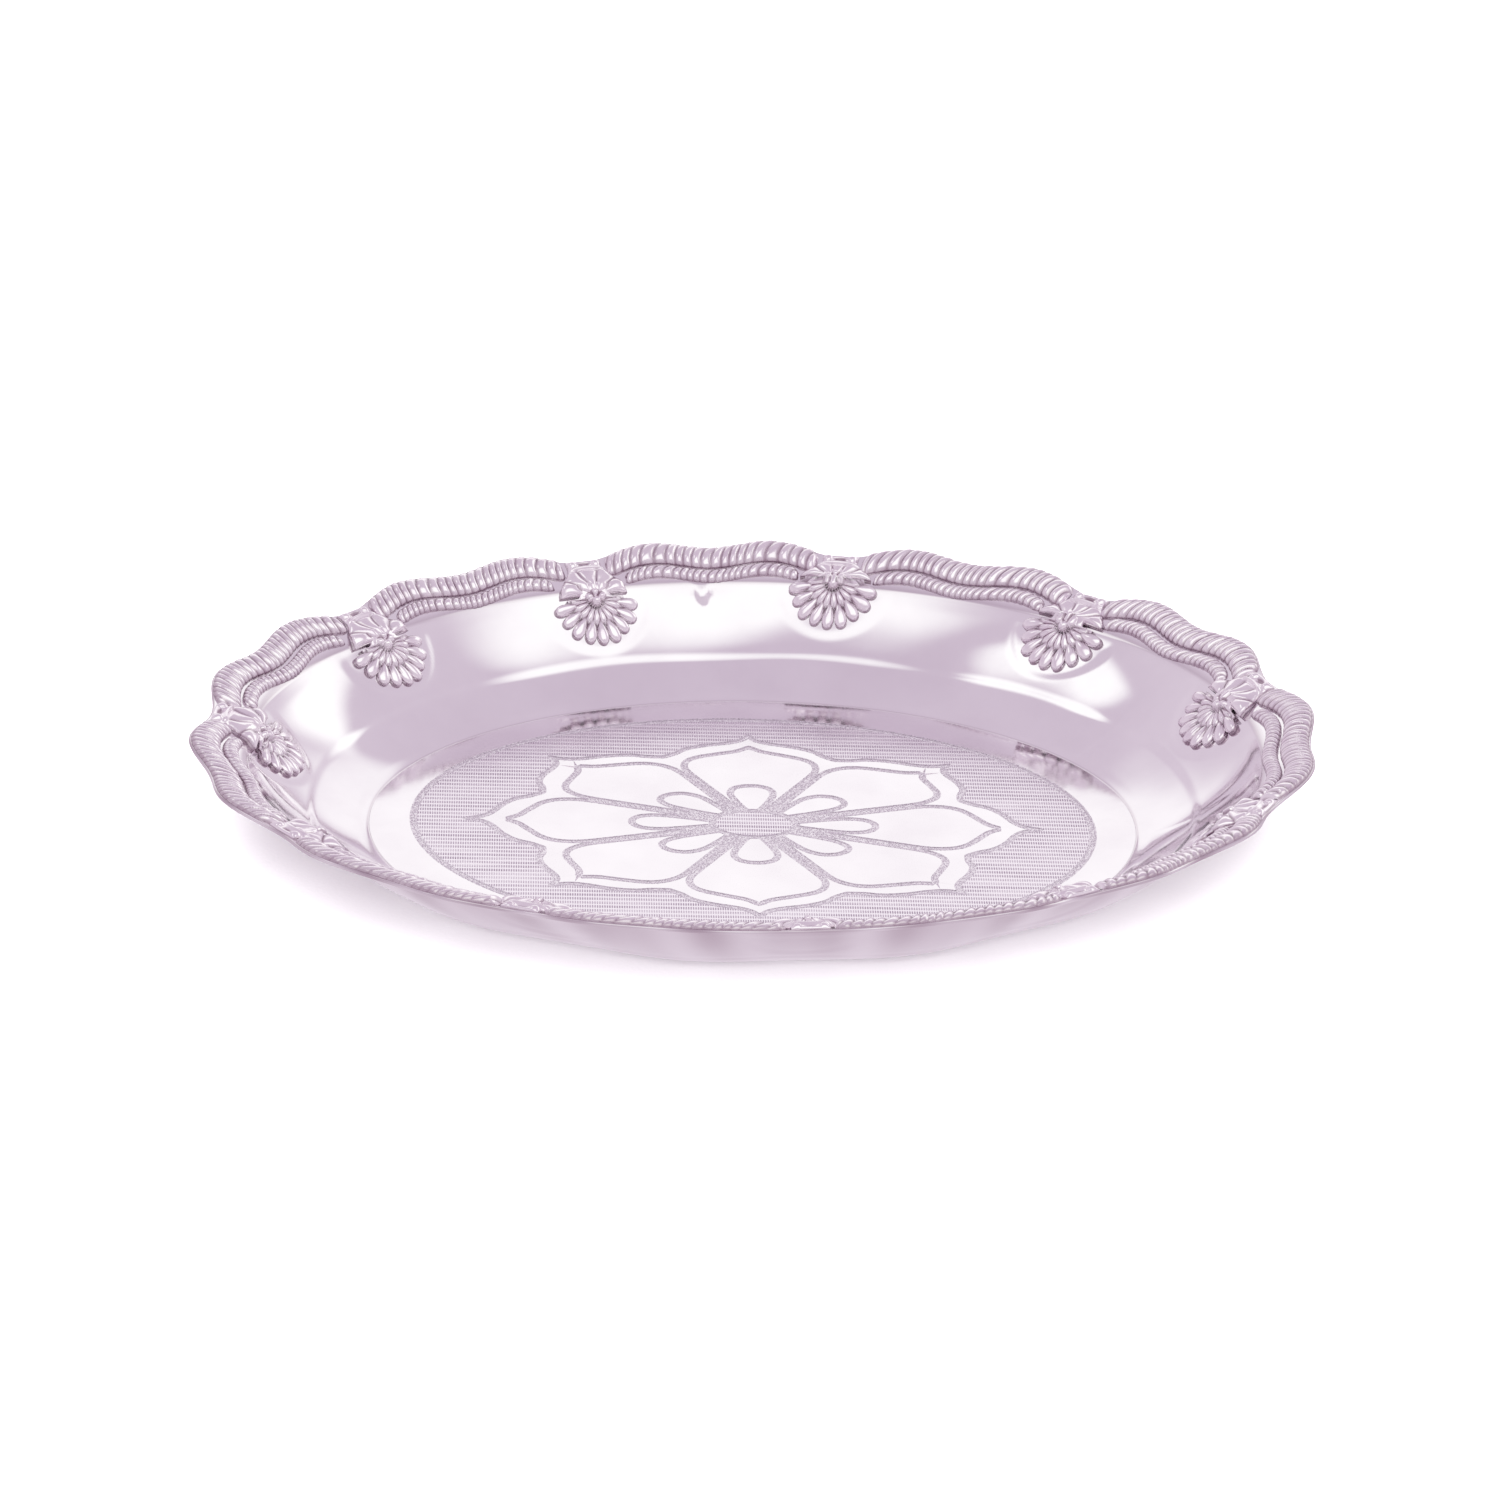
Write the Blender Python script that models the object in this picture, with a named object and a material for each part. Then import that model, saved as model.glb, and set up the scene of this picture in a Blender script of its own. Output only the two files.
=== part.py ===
"""Oval silver-plated ceremonial tray with a lobed, rope-edged rim and shell mounts.

The origin is the centre of the flat underside, +X runs along the tray and +Z is up.
Everything on the rim is laid out on one pressed surface, the dish, in three coordinates:
  station  distance round the rim, in sectors (0 on the +X axis, counterclockwise)
  reach    horizontal distance out from the crease round the flat floor
  lift     height above the dish's upper face, square to it
"""

import math

import bmesh
import bpy

MM = 0.001

# The dish
FLOOR_LENGTH = 192.0 * MM      # crease round the flat floor, along X
FLOOR_WIDTH = 139.0 * MM       # the same, along Y
RIM_LENGTH = 273.0 * MM        # through the notches of the rim, along X
RIM_WIDTH = 210.4 * MM         # the same, along Y
RIM_HEIGHT = 27.0 * MM         # upper face at the notches
SHEET = 1.0 * MM               # thickness of the pressed sheet
FLANGE_WIDTH = 9.75 * MM       # horizontal, from the wall's top edge to a notch
FLANGE_SLOPE = math.radians(24.0)
WALL_FOOT_SLOPE = math.radians(18.0)

# The lobed edge
SECTORS = 11
FIRST_JOINT = 0.30             # station of the first joint between border lengths
LATE_START = 0.08              # the last length runs on past the tray's +X end by this share
RIM_TURN = math.radians(3.5)   # the rim's oval sits turned from the floor's
LOBE_RISE = 3.2 * MM           # how far the two lobes of a sector stand out
TROUGH_RISE = 2.0 * MM         # how far the middle of a sector stands out

# The border
GAP = 0.3 * MM                 # between soldered pieces
OUTER_ROPE_WIDTH = 7.6 * MM
OUTER_ROPE_HEIGHT = 2.3 * MM
OUTER_ROPE_INSET = 3.9 * MM    # from the rim's edge to the rope's middle
OUTER_ROPE_END = 0.085         # share of a sector left free at each end
INNER_ROPE_WIDTH = 3.8 * MM
INNER_ROPE_HEIGHT = 1.8 * MM
INNER_ROPE_INSET = 10.1 * MM
INNER_ROPE_END = 0.15

# The shell mounts
SHELL_RADIUS = 13.6 * MM       # longest fingers, from the knob
SHELL_SIDE_RADIUS = 12.8 * MM  # fingers at the fan's two sides
SHELL_BACK_RADIUS = 5.0 * MM   # the fan's upper side
SHELL_SPREAD = math.radians(80.0)
SHELL_SHOULDER = math.radians(28.0)
# Each knob's distance down the dish from its notch: the castings were set by hand
KNOB_DROPS = [drop * MM for drop in (13.5, 12.2, 10.6, 14.4, 14.0, 15.0, 13.0, 13.0, 13.0, 13.0, 13.0)]
SHELL_THICKNESS = 1.9 * MM
SHELL_KNOB_THICKNESS = 2.6 * MM
BEND_CLEARANCE = 0.7 * MM      # the mount's hollow back bridges the bend at the wall's top
BEND_CLEARANCE_REACH = 2.6 * MM
STRAP_WIDTH = 8.0 * MM

# Fineness of the solids
STEPS_PER_SECTOR = 14
WALL_STEPS = 6
ROPE_STEPS = 12
ROPE_SIDES = 5
SHELL_SIDES = 28
SHELL_RINGS = 4

SILVER = (0.86, 0.83, 0.86, 1.0)
ROPE_SILVER = (0.72, 0.66, 0.71, 1.0)

REACH_TO_NOTCH = (RIM_LENGTH - FLOOR_LENGTH) / 2
SIDE_REACH_TO_NOTCH = (RIM_WIDTH - FLOOR_WIDTH) / 2
WALL_REACH = REACH_TO_NOTCH - FLANGE_WIDTH
WALL_RISE = RIM_HEIGHT - SHEET - FLANGE_WIDTH * math.tan(FLANGE_SLOPE)
# The wall is an arc: its mean slope fixes the slope at its top, and both fix its radius.
WALL_TOP_SLOPE = 2 * math.atan2(WALL_RISE, WALL_REACH) - WALL_FOOT_SLOPE
WALL_RADIUS = WALL_REACH / (math.sin(WALL_TOP_SLOPE) - math.sin(WALL_FOOT_SLOPE))


def clear_scene():
    for old in list(bpy.data.objects):
        bpy.data.objects.remove(old, do_unlink=True)


def silver(name, colour, roughness):
    material = bpy.data.materials.new(name)
    material.use_nodes = True
    shader = material.node_tree.nodes["Principled BSDF"]
    shader.inputs["Base Color"].default_value = colour
    shader.inputs["Metallic"].default_value = 1.0
    shader.inputs["Roughness"].default_value = roughness
    return material


def oval(angle, reach):
    """Point of the oval that lies the given reach outside the floor's crease."""
    along = FLOOR_LENGTH / 2 + reach
    across = FLOOR_WIDTH / 2 + reach * SIDE_REACH_TO_NOTCH / REACH_TO_NOTCH
    turn = RIM_TURN * reach / REACH_TO_NOTCH
    x, y = along * math.cos(angle - turn), across * math.sin(angle - turn)
    return x * math.cos(turn) - y * math.sin(turn), x * math.sin(turn) + y * math.cos(turn)


def rim_angles(count=2880):
    """Oval angle at each of count equal steps of the way round the rim."""
    fine = count * 4
    points = [oval(2 * math.pi * i / fine, REACH_TO_NOTCH) for i in range(fine + 1)]
    travelled = [0.0]
    for before, after in zip(points, points[1:]):
        travelled.append(travelled[-1] + math.dist(before, after))
    angles = []
    k = 0
    for i in range(count + 1):
        goal = travelled[-1] * i / count
        while k < fine - 1 and travelled[k + 1] < goal:
            k += 1
        share = (goal - travelled[k]) / (travelled[k + 1] - travelled[k])
        angles.append(2 * math.pi * (k + share) / fine)
    return angles, travelled[-1]


ANGLES, RIM_LENGTH_ROUND = rim_angles()
SECTOR_LENGTH = RIM_LENGTH_ROUND / SECTORS


def angle_at(station):
    turns, share = divmod(station / SECTORS, 1.0)
    place = share * (len(ANGLES) - 1)
    low = min(int(place), len(ANGLES) - 2)
    angle = ANGLES[low] + (ANGLES[low + 1] - ANGLES[low]) * (place - low)
    return angle + turns * 2 * math.pi


def profile(reach):
    """Height and slope of the dish's upper face."""
    if reach <= 0:
        return SHEET, 0.0
    if reach < WALL_REACH:
        slope = math.asin(math.sin(WALL_FOOT_SLOPE) + reach / WALL_RADIUS)
        return SHEET + WALL_RADIUS * (math.cos(WALL_FOOT_SLOPE) - math.cos(slope)), slope
    height = SHEET + WALL_RISE + (reach - WALL_REACH) * math.tan(FLANGE_SLOPE)
    return height, FLANGE_SLOPE


def on_dish(station, reach, lift):
    """World point at the given height above the dish's upper face."""
    height, slope = profile(reach)
    angle = angle_at(station)
    x, y = oval(angle, reach - lift * math.sin(slope))
    return x, y, height + lift * math.cos(slope)


def joint_station(joint):
    late = LATE_START if joint % SECTORS == 0 else 0.0
    return FIRST_JOINT + joint + late


def station_in(sector, share):
    """Station at the given share of the way along one sector."""
    start, end = joint_station(sector), joint_station(sector + 1)
    return start + share * (end - start)


def edge_reach(share):
    """Reach of the lobed edge: low at each joint, two lobes, and a trough between them."""
    lobes = LOBE_RISE * (1 - math.cos(4 * math.pi * share)) / 2
    trough = TROUGH_RISE * math.sin(math.pi * share) ** 2
    return REACH_TO_NOTCH + lobes + trough


def solid_object(name, build, material):
    mesh = bpy.data.meshes.new(name)
    work = bmesh.new()
    build(work)
    bmesh.ops.recalc_face_normals(work, faces=work.faces)
    work.to_mesh(mesh)
    work.free()
    mesh.materials.append(material)
    mesh.shade_smooth()
    mesh.set_sharp_from_angle(angle=math.radians(35.0))
    made = bpy.data.objects.new(name, mesh)
    bpy.context.scene.collection.objects.link(made)
    return made


def join_rows(work, rows, closed):
    """Quads between neighbouring rows of vertices; closed also joins each row's ends."""
    for low, high in zip(rows, rows[1:]):
        last = len(low) if closed else len(low) - 1
        for i in range(last):
            j = (i + 1) % len(low)
            work.faces.new((low[i], low[j], high[j], high[i]))


def build_dish(work):
    shares = [i / STEPS_PER_SECTOR for i in range(STEPS_PER_SECTOR)]
    places = [(station_in(k, share), share) for k in range(SECTORS) for share in shares]
    wall = [WALL_REACH * i / WALL_STEPS for i in range(WALL_STEPS + 1)]

    def ring(reach, lift):
        return [work.verts.new(on_dish(station, reach, lift)) for station, _ in places]

    def edge_ring(lift):
        return [work.verts.new(on_dish(station, edge_reach(share), lift))
                for station, share in places]

    upper = [ring(reach, 0.0) for reach in wall] + [edge_ring(0.0)]
    lower = [ring(reach, -SHEET) for reach in wall] + [edge_ring(-SHEET)]
    join_rows(work, upper, closed=True)
    join_rows(work, lower, closed=True)
    join_rows(work, [upper[-1], lower[-1]], closed=True)
    work.faces.new(upper[0])
    work.faces.new(lower[0])


def rope_section(width, height):
    """Half-round section, from its inner foot over the crown to its outer foot."""
    return [(-width / 2 * math.cos(math.pi * i / ROPE_SIDES),
             GAP + height * math.sin(math.pi * i / ROPE_SIDES))
            for i in range(ROPE_SIDES + 1)]


def rope_builder(sector, inset, width, height, end_share):
    def build(work):
        rows = []
        for i in range(ROPE_STEPS + 1):
            share = end_share + (1 - 2 * end_share) * i / ROPE_STEPS
            station = station_in(sector, share)
            middle = edge_reach(share) - inset
            row = []
            for across, lift in rope_section(width, height):
                reach = middle + across * math.cos(FLANGE_SLOPE)
                row.append(work.verts.new(on_flange(station, reach, lift)))
            rows.append(row)
        join_rows(work, rows, closed=True)
        work.faces.new(rows[0])
        work.faces.new(rows[-1])
    return build


def on_flange(station, reach, lift):
    """Like on_dish, with the flange's cone carried on inwards over the wall's top edge."""
    height = SHEET + WALL_RISE + (reach - WALL_REACH) * math.tan(FLANGE_SLOPE)
    x, y = oval(angle_at(station), reach - lift * math.sin(FLANGE_SLOPE))
    return x, y, height + lift * math.cos(FLANGE_SLOPE)


def reach_below_notch(drop):
    """Reach of the point that lies drop down the dish's section from a notch's edge."""
    flange_run = FLANGE_WIDTH / math.cos(FLANGE_SLOPE)
    if drop <= flange_run:
        return REACH_TO_NOTCH - drop * math.cos(FLANGE_SLOPE)
    turned = WALL_TOP_SLOPE - (drop - flange_run) / WALL_RADIUS
    return WALL_RADIUS * (math.sin(turned) - math.sin(WALL_FOOT_SLOPE))


def shell_outline(angle, knob_drop):
    """Radius of the fan, with angle 0 straight down the wall and pi towards the rim."""
    away = abs(angle)
    sideways = min(away / SHELL_SPREAD, 1.0)
    fan = SHELL_RADIUS + (SHELL_SIDE_RADIUS - SHELL_RADIUS) * sideways ** 2
    shrink = min(max(away - SHELL_SPREAD, 0.0) / SHELL_SHOULDER, 1.0)
    fan += (SHELL_BACK_RADIUS - SHELL_SIDE_RADIUS) * shrink
    if away <= math.pi / 2:
        return fan
    strap = STRAP_WIDTH / 2 / max(math.sin(away), 0.05)
    to_edge = (knob_drop - GAP) / max(-math.cos(away), 0.05)
    return max(fan, min(strap, to_edge))


def shell_builder(joint):
    def build(work):
        def point(angle, share, thickness):
            radius = shell_outline(angle, KNOB_DROPS[joint]) * share
            reach = reach_below_notch(KNOB_DROPS[joint] + radius * math.cos(angle))
            station = joint_station(joint) + radius * math.sin(angle) / SECTOR_LENGTH
            off_bend = (reach - WALL_REACH) / BEND_CLEARANCE_REACH
            foot = GAP + BEND_CLEARANCE * math.exp(-off_bend ** 2)
            return work.verts.new(on_dish(station, reach, foot + thickness))

        def ring(share, thickness):
            return [point(a, share, thickness) for a in angles]

        angles = [2 * math.pi * i / SHELL_SIDES - math.pi for i in range(SHELL_SIDES)]
        shares = [k / SHELL_RINGS for k in range(1, SHELL_RINGS + 1)]
        thinning = SHELL_KNOB_THICKNESS - SHELL_THICKNESS
        face = [ring(share, SHELL_KNOB_THICKNESS - thinning * share) for share in shares]
        back = [ring(share, 0.0) for share in reversed(shares)]
        join_rows(work, face + back, closed=True)
        top = point(0.0, 0.0, SHELL_KNOB_THICKNESS)
        bottom = point(0.0, 0.0, 0.0)
        for i in range(SHELL_SIDES):
            j = (i + 1) % SHELL_SIDES
            work.faces.new((top, face[0][i], face[0][j]))
            work.faces.new((bottom, back[-1][j], back[-1][i]))
    return build


def build_tray():
    clear_scene()
    plain = silver("plate_silver", SILVER, 0.16)
    border = silver("border_silver", ROPE_SILVER, 0.24)
    solid_object("plate_body", build_dish, plain)
    for k in range(SECTORS):
        outer = rope_builder(k, OUTER_ROPE_INSET, OUTER_ROPE_WIDTH, OUTER_ROPE_HEIGHT, OUTER_ROPE_END)
        inner = rope_builder(k, INNER_ROPE_INSET, INNER_ROPE_WIDTH, INNER_ROPE_HEIGHT, INNER_ROPE_END)
        solid_object(f"outer_rope_{k + 1:02d}", outer, border)
        solid_object(f"inner_rope_{k + 1:02d}", inner, border)
        solid_object(f"shell_mount_{k + 1:02d}", shell_builder(k), border)


build_tray()
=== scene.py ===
"""Finished look of the oval tray: engraved lotus floor, fluted wall, rope border and shell mounts.

Every surface is laid out on the same pressed dish as the solids, in three coordinates:
  station  distance round the rim, in sectors (0 on the +X axis, counterclockwise)
  reach    horizontal distance out from the crease round the flat floor
  lift     height above the dish's upper face, square to it
"""

import math

import bpy
import numpy as np
from mathutils import Matrix, Vector
from mathutils.geometry import delaunay_2d_cdt
from mathutils.kdtree import KDTree


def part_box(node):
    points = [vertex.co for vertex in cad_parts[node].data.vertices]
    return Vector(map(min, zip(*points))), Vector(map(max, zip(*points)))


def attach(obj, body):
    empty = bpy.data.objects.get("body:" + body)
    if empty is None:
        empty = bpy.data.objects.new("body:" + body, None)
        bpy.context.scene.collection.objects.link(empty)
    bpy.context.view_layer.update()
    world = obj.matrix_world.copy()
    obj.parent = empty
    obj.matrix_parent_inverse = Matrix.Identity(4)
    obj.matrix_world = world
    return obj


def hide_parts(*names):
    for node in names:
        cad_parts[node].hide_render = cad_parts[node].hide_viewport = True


MM = 0.001

# The dish, as the solids have it
FLOOR_LENGTH = 192.0 * MM
FLOOR_WIDTH = 139.0 * MM
RIM_LENGTH = 273.0 * MM
RIM_WIDTH = 210.4 * MM
RIM_HEIGHT = 27.0 * MM
SHEET = 1.0 * MM
FLANGE_WIDTH = 9.75 * MM
FLANGE_SLOPE = math.radians(24.0)
WALL_FOOT_SLOPE = math.radians(18.0)
SECTORS = 11
FIRST_JOINT = 0.30             # station of the first joint, if the spacing were even
LATE_START = 0.08              # it really sits this much later
RIM_TURN = math.radians(3.5)
LOBE_RISE = 3.2 * MM
TROUGH_RISE = 2.0 * MM
EDGE_RETREAT = 0.1 * MM        # the rounded edge stays this far inside the solid's
RIM_STEPS = 11520              # steps in which the way round the rim is measured

# Relief pressed into the wall
FLUTE_DEPTH = 0.55 * MM        # the wall swells at each joint and hollows between
DENT_STATION = 2.84            # a three-cornered dent below one of the troughs
DENT_SLOPE = 0.27
DENT_LENGTH = 8.0 * MM
DENT_HALF_WIDTH = 3.4 * MM
DENT_TIP = 0.05                # its width at the point, as a share of the width at the top
DENT_DEEPEST = 0.25            # share of its length where it starts to run out
DENT_SIDES = (0.6, 1.15)       # shares of its half width between which it fades
PAD_DEPTH = 0.3 * MM           # embossed field behind each shell
PAD_ALONG = 15.6 * MM
PAD_DOWN = 15.2 * MM
PAD_SOFTNESS = 0.12            # share of the field's radius over which it fades
STEP_RISE = 0.28 * MM          # faint spun step low on the wall
STEP_REACH = 14.6 * MM
STEP_WIDTH = 1.2 * MM
STEP_END = (0.6, 0.98)         # shares of the wall over which the step runs out upwards
WALL_FOOT = (0.02, 0.12)       # shares of the wall over which its relief sets in
WALL_TOP = (0.9, 0.995)        # and over which it ends
GROOVE_DEPTH = 0.07 * MM       # line pressed along the crease
GROOVE_REACH = 0.35 * MM
GROOVE_HALF_WIDTH = 0.25 * MM
GROOVE_END = 0.7 * MM

# Rope borders: width, height, inset from the edge, share of a sector left free at each end,
# pitch of the ridges and how far they fade into a plain lip on the outer side
OUTER_ROPE = dict(width=7.9 * MM, height=2.15 * MM, inset=3.95 * MM,
                  end=0.085, pitch=2.7 * MM, lip=0.3)
INNER_ROPE = dict(width=4.3 * MM, height=1.65 * MM, inset=10.05 * MM,
                  end=0.15, pitch=2.15 * MM, lip=0.0)
ROPE_END_TAPER = 2.4 * MM
ROPE_SINK = 0.15 * MM          # the foot is let into the sheet, as solder closes the gap

# Shell mounts
# Each knob's distance down the dish from its notch: the castings were set by hand
KNOB_DROPS = np.array([13.5, 12.2, 10.6, 14.4, 14.0, 15.0, 13.0, 13.0, 13.0, 13.0, 13.0]) * MM
FINGERS = 9
FAN_HALF_ANGLE = math.radians(90.0)
FINGER_REACH = 13.5 * MM
SIDE_FINGER_REACH = 12.5 * MM
HOOD_REACH = 4.8 * MM          # the fan's smooth upper side
SPOON_LENGTH = 4.0 * MM        # half the length of a finger's rounded end
UPPER_REACH = 7.4 * MM         # tips of the short upper tier
UPPER_LENGTH = 2.5 * MM
SHELL_FOOT = 0.3 * MM
BEND_CLEARANCE = 0.7 * MM      # the castings are raised this much over the wall's top edge
BEND_CLEARANCE_REACH = 2.6 * MM

# Engraving, in a round design that is squeezed into the oval floor
DESIGN_SQUEEZE = 0.692
DESIGN_TURN = math.radians(-3.15)
PETALS = 8
BAND_RADIUS = 85.0 * MM
CENTRE_RADIUS = 10.5 * MM
LINE_WIDTH = 1.9 * MM          # a double line with stippling between
LINE_DEPTH = 0.14 * MM
LINE_STEP = 0.6 * MM
LINE_SAMPLES = 5               # finer points to a step, from which distances are measured
# Across a line, as shares of its half width: the middle and half width of a cut, where the sunk
# floor between the cuts ends, and that floor's depth as a share of the cuts'
CUT_MIDDLE = 0.8
CUT_HALF_WIDTH = 0.2
SUNK_EDGE = (0.6, 0.85)
SUNK_DEPTH = 0.35
RAILS = np.array([-1.0, -0.8, -0.6, 0.0, 0.6, 0.8, 1.0]) * LINE_WIDTH / 2
ROUND_STEPS = 360
SPLINE_STEPS = 12
MERGE_WITHIN = 1e-3            # in mm
SHALLOWEST = 0.008 * MM        # anything shallower is left flat
CROWDED = 0.01 * MM            # a cut that runs this far into another line is left out
# Half outlines as (distance from the centre, distance from the petal's axis), in mm
PETAL = [(10.8, 3.4), (22.0, 8.1), (36.0, 13.9), (42.0, 16.2), (46.0, 16.75), (50.0, 15.9),
         (53.2, 13.2), (56.2, 8.0), (58.8, 3.2), (62.3, 0.0)]
SMALL_PETAL = [(11.0, 1.9), (17.0, 3.9), (23.5, 5.4), (28.0, 4.6), (30.1, 2.2), (30.5, 0.0)]
OUTLINE = [(52.8, 21.87), (54.4, 20.2), (56.2, 18.6), (58.8, 17.0), (61.0, 14.6), (63.2, 10.8),
           (65.2, 5.8), (67.2, 2.6), (69.6, 0.9), (72.0, 0.0)]

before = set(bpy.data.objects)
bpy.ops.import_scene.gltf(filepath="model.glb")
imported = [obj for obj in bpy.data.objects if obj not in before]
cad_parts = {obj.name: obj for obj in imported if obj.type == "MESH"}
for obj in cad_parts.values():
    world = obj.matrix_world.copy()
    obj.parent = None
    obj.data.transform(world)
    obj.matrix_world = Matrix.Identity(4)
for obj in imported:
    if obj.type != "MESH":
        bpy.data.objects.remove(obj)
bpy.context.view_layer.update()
FLOOR_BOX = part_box("plate_body")

REACH_TO_NOTCH = (RIM_LENGTH - FLOOR_LENGTH) / 2
SIDE_REACH_TO_NOTCH = (RIM_WIDTH - FLOOR_WIDTH) / 2
WALL_REACH = REACH_TO_NOTCH - FLANGE_WIDTH
WALL_RISE = RIM_HEIGHT - SHEET - FLANGE_WIDTH * math.tan(FLANGE_SLOPE)
WALL_TOP_SLOPE = 2 * math.atan2(WALL_RISE, WALL_REACH) - WALL_FOOT_SLOPE
WALL_RADIUS = WALL_REACH / (math.sin(WALL_TOP_SLOPE) - math.sin(WALL_FOOT_SLOPE))


# ---------------------------------------------------------------- the dish

def oval(angle, reach):
    """Point of the oval that lies the given reach outside the floor's crease."""
    along = FLOOR_LENGTH / 2 + reach
    across = FLOOR_WIDTH / 2 + reach * SIDE_REACH_TO_NOTCH / REACH_TO_NOTCH
    turn = RIM_TURN * reach / REACH_TO_NOTCH
    x = along * np.cos(angle - turn)
    y = across * np.sin(angle - turn)
    return x * np.cos(turn) - y * np.sin(turn), x * np.sin(turn) + y * np.cos(turn)


def even_rim_angles():
    """Oval angles, how far round the rim each lies as a share of the whole way, and that way."""
    angles = np.linspace(0.0, 2 * math.pi, RIM_STEPS + 1)
    x, y = oval(angles, REACH_TO_NOTCH)
    travelled = np.concatenate([[0.0], np.cumsum(np.hypot(np.diff(x), np.diff(y)))])
    return angles, travelled / travelled[-1], travelled[-1]


RIM_ANGLES, RIM_SHARES, RIM_WAY = even_rim_angles()
SECTOR_LENGTH = RIM_WAY / SECTORS


def angle_at(station):
    turns = np.floor(station / SECTORS)
    return np.interp(station / SECTORS - turns, RIM_SHARES, RIM_ANGLES) + turns * 2 * math.pi


def wall_slope(reach):
    sine = math.sin(WALL_FOOT_SLOPE) + np.clip(reach, 0.0, WALL_REACH) / WALL_RADIUS
    return np.arcsin(sine)


def profile(reach):
    """Height and slope of the dish's upper face."""
    slope = wall_slope(reach)
    wall = SHEET + WALL_RADIUS * (math.cos(WALL_FOOT_SLOPE) - np.cos(slope))
    flange = SHEET + WALL_RISE + (reach - WALL_REACH) * math.tan(FLANGE_SLOPE)
    height = np.where(reach < WALL_REACH, wall, flange)
    slope = np.where(reach < WALL_REACH, slope, FLANGE_SLOPE)
    floor = reach <= 0
    return np.where(floor, SHEET, height), np.where(floor, 0.0, slope)


def on_slope(station, reach, lift, height, slope):
    x, y = oval(angle_at(station), reach - lift * np.sin(slope))
    return np.stack([x, y, height + lift * np.cos(slope)], axis=-1)


def on_dish(station, reach, lift):
    height, slope = profile(reach)
    return on_slope(station, reach, lift, height, slope)


def on_flange(station, reach, lift):
    """Like on_dish, with the flange's cone carried on inwards over the wall's top edge."""
    height = SHEET + WALL_RISE + (reach - WALL_REACH) * math.tan(FLANGE_SLOPE)
    return on_slope(station, reach, lift, height, FLANGE_SLOPE)


def joint_station(joint):
    return FIRST_JOINT + joint + np.where(np.asarray(joint) % SECTORS == 0, LATE_START, 0.0)


def station_in(sector, share):
    start, end = joint_station(sector), joint_station(sector + 1)
    return start + share * (end - start)


def edge_reach(share):
    lobes = LOBE_RISE * (1 - np.cos(4 * math.pi * share)) / 2
    trough = TROUGH_RISE * np.sin(math.pi * share) ** 2
    return REACH_TO_NOTCH + lobes + trough


def fade(value, low, high):
    """Smooth step from 0 at low to 1 at high."""
    t = np.clip((value - low) / (high - low), 0.0, 1.0)
    return t * t * (3 - 2 * t)


def drop_below_notch(reach):
    """Distance down the dish's section from a notch's edge."""
    flange = (REACH_TO_NOTCH - reach) / math.cos(FLANGE_SLOPE)
    run = FLANGE_WIDTH / math.cos(FLANGE_SLOPE)
    wall = run + WALL_RADIUS * (WALL_TOP_SLOPE - wall_slope(reach))
    return np.where(reach < WALL_REACH, wall, flange)


def reach_below_notch(drop):
    run = FLANGE_WIDTH / math.cos(FLANGE_SLOPE)
    turned = WALL_TOP_SLOPE - (drop - run) / WALL_RADIUS
    wall = WALL_RADIUS * (np.sin(turned) - math.sin(WALL_FOOT_SLOPE))
    return np.where(drop <= run, REACH_TO_NOTCH - drop * math.cos(FLANGE_SLOPE), wall)


def relief(station, reach):
    """Lift of the wall: a spun step, flutes, fields behind the shells and one dent."""
    nearest = np.round(station - FIRST_JOINT)
    joint = joint_station(nearest)
    off_joint = station - joint
    up = np.clip(reach / WALL_REACH, 0.0, 1.0)
    on_wall = fade(up, *WALL_FOOT) * (1 - fade(up, *WALL_TOP))
    flutes = FLUTE_DEPTH * np.cos(2 * math.pi * off_joint) * np.sin(math.pi * up)
    below_bend = np.maximum(WALL_RADIUS * (WALL_TOP_SLOPE - wall_slope(reach)), 0.0)
    half_width = DENT_HALF_WIDTH * np.clip(1 - below_bend / DENT_LENGTH, DENT_TIP, 1.0)
    beside = np.abs(station - DENT_STATION) * SECTOR_LENGTH / half_width
    dent = DENT_SLOPE * below_bend * (1 - fade(below_bend, DENT_DEEPEST * DENT_LENGTH, DENT_LENGTH))
    dent *= 1 - fade(beside, *DENT_SIDES)
    knob_drop = KNOB_DROPS[nearest.astype(int) % SECTORS]
    down = (drop_below_notch(reach) - knob_drop) / PAD_DOWN
    along = off_joint * SECTOR_LENGTH / PAD_ALONG
    from_knob = np.hypot(along, down)
    pad = PAD_DEPTH * (1 - fade(from_knob, 1 - PAD_SOFTNESS, 1 + PAD_SOFTNESS))
    step = STEP_RISE * fade(reach, STEP_REACH - STEP_WIDTH, STEP_REACH + STEP_WIDTH)
    step *= 1 - fade(up, *STEP_END)
    return step + (flutes + pad) * on_wall + dent


def crease_groove(reach):
    """How deep in the crease's groove a reach lies, from 0 to 1."""
    return np.exp(-((reach - GROOVE_REACH) / GROOVE_HALF_WIDTH) ** 2) * (reach > 0)


# ---------------------------------------------------------------- meshes

def grid_faces(rows, columns, closed):
    """Quads of a grid of points stored row by row; closed also joins each row's ends."""
    across = columns if closed else columns - 1
    i, j = np.meshgrid(np.arange(rows - 1), np.arange(across), indexing="ij")
    k = (j + 1) % columns
    quads = np.stack([i * columns + j, i * columns + k,
                      (i + 1) * columns + k, (i + 1) * columns + j], axis=-1)
    return quads.reshape(-1, 4).tolist()


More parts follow.
